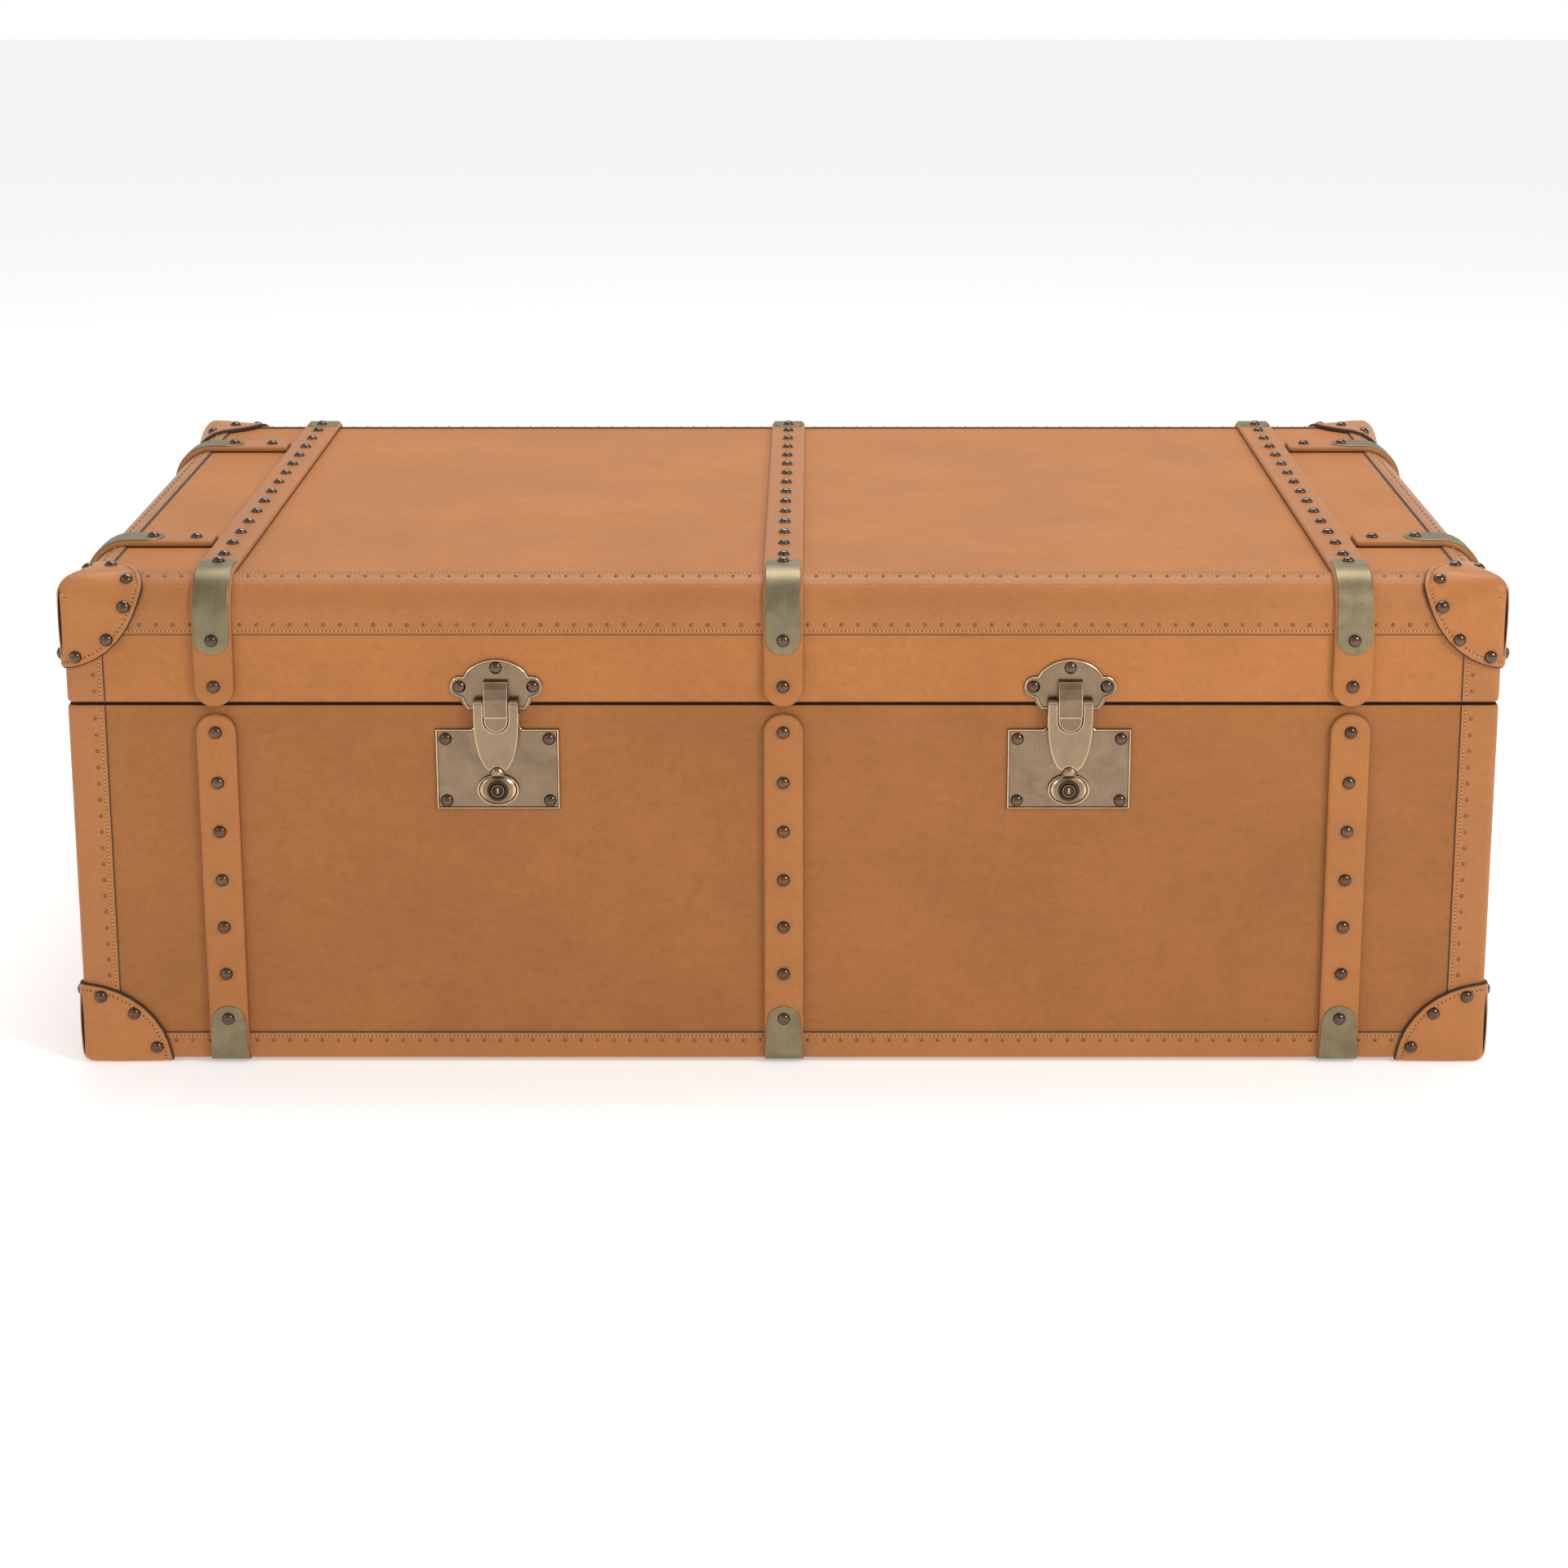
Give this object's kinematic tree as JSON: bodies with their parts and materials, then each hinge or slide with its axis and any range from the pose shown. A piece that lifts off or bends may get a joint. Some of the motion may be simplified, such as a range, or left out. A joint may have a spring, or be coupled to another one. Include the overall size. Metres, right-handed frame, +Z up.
{
  "type": "steamer trunk",
  "caption": "Rectangular leather-covered trunk with bindings, corner caps, nailed straps, a hinged lid on quadrant stays, hasp locks and drop handles.",
  "frame": {"origin": "on the floor under the centre of the trunk", "axes": "+X towards the trunk's right end as seen from the front, +Y towards its hinged back, +Z up"},
  "size_m": [1.301, 0.7675, 0.4511],
  "materials": {
    "boards": "plywood boards under tan leather",
    "cap_leather": "thick tan saddle leather with a dark raw edge",
    "strap_leather": "thick tan leather strap",
    "binding_leather": "tan leather edge binding, stitched and tacked",
    "grip_leather": "smooth tan leather",
    "lock_brass": "pale antique brass, brushed",
    "fittings_brass": "dark antique brass, brushed",
    "pins": "plain steel wire",
    "nail_brass": "dark bronzed dome nails",
    "tack_brass": "small brass tacks",
    "thread": "waxed brown thread",
    "lining": "plain woven cotton lining",
    "raw_edge": "dyed raw leather edge"
  },
  "bodies": {
    "base": {"base_back_board": "boards", "base_back_left_cap": "cap_leather", "base_back_right_cap": "cap_leather", "base_back_strap_left": "strap_leather", "base_back_strap_middle": "strap_leather", "base_back_strap_right": "strap_leather", "base_bottom_board": "boards", "base_edge_binding": "binding_leather", "base_front_board": "boards", "base_front_left_cap": "cap_leather", "base_front_right_cap": "cap_leather", "base_front_strap_left": "strap_leather", "base_front_strap_middle": "strap_leather", "base_front_strap_right": "strap_leather", "base_left_board": "boards", "base_right_board": "boards", "base_side_strap_back_left": "strap_leather", "base_side_strap_back_right": "strap_leather", "base_side_strap_front_left": "strap_leather", "base_side_strap_front_right": "strap_leather", "handle_plate_left": "fittings_brass", "handle_plate_right": "fittings_brass", "hinge_base_leaf": "fittings_brass", "hinge_pin": "pins", "lock_plate_left": "lock_brass", "lock_plate_right": "lock_brass", "stay_guide_left": "fittings_brass", "stay_guide_right": "fittings_brass"},
    "lid": {"hasp_pin_left": "pins", "hasp_pin_right": "pins", "hinge_lid_leaf": "fittings_brass", "lid_back_board": "boards", "lid_back_left_cap": "cap_leather", "lid_back_right_cap": "cap_leather", "lid_edge_binding": "binding_leather", "lid_front_board": "boards", "lid_front_left_cap": "cap_leather", "lid_front_right_cap": "cap_leather", "lid_left_board": "boards", "lid_right_board": "boards", "lid_side_strap_back_left": "strap_leather", "lid_side_strap_back_right": "strap_leather", "lid_side_strap_front_left": "strap_leather", "lid_side_strap_front_right": "strap_leather", "lid_strap_left": "strap_leather", "lid_strap_middle": "strap_leather", "lid_strap_right": "strap_leather", "lid_top_board": "boards", "stay_arm_left": "fittings_brass", "stay_arm_right": "fittings_brass", "strike_plate_left": "lock_brass", "strike_plate_right": "lock_brass"},
    "hasp_left": {"hasp_left": "lock_brass"},
    "hasp_right": {"hasp_right": "lock_brass"},
    "key_plug_left": {"key_plug_left": "lock_brass"},
    "key_plug_right": {"key_plug_right": "lock_brass"},
    "handle_left": {"handle_bail_left": "fittings_brass", "handle_grip_left": "grip_leather"},
    "handle_right": {"handle_bail_right": "fittings_brass", "handle_grip_right": "grip_leather"}
  },
  "joints": [
    {"name": "lid_hinge", "type": "hinge", "parent": "base", "child": "lid", "pos_m": [0, 0.3777, 0.33465], "axis": [-1, 0, 0], "range_deg": [0, 78]},
    {"name": "hasp_left_hinge", "type": "hinge", "parent": "lid", "child": "hasp_left", "pos_m": [-0.2515, -0.3798, 0.3362], "axis": [-1, 0, 0], "range_deg": [0, 120]},
    {"name": "key_left_turn", "type": "hinge", "parent": "base", "child": "key_plug_left", "pos_m": [-0.2515, -0.3838, 0.2569], "axis": [0, 1, 0], "range_deg": [0, 90]},
    {"name": "handle_left_swing", "type": "hinge", "parent": "base", "child": "handle_left", "pos_m": [-0.6405, 0, 0.232], "axis": [0, 1, 0], "range_deg": [0, 90]},
    {"name": "hasp_right_hinge", "type": "hinge", "parent": "lid", "child": "hasp_right", "pos_m": [0.2515, -0.3798, 0.3362], "axis": [-1, 0, 0], "range_deg": [0, 120]},
    {"name": "key_right_turn", "type": "hinge", "parent": "base", "child": "key_plug_right", "pos_m": [0.2515, -0.3838, 0.2569], "axis": [0, 1, 0], "range_deg": [0, 90]},
    {"name": "handle_right_swing", "type": "hinge", "parent": "base", "child": "handle_right", "pos_m": [0.6405, 0, 0.232], "axis": [0, -1, 0], "range_deg": [0, 90]}
  ]
}
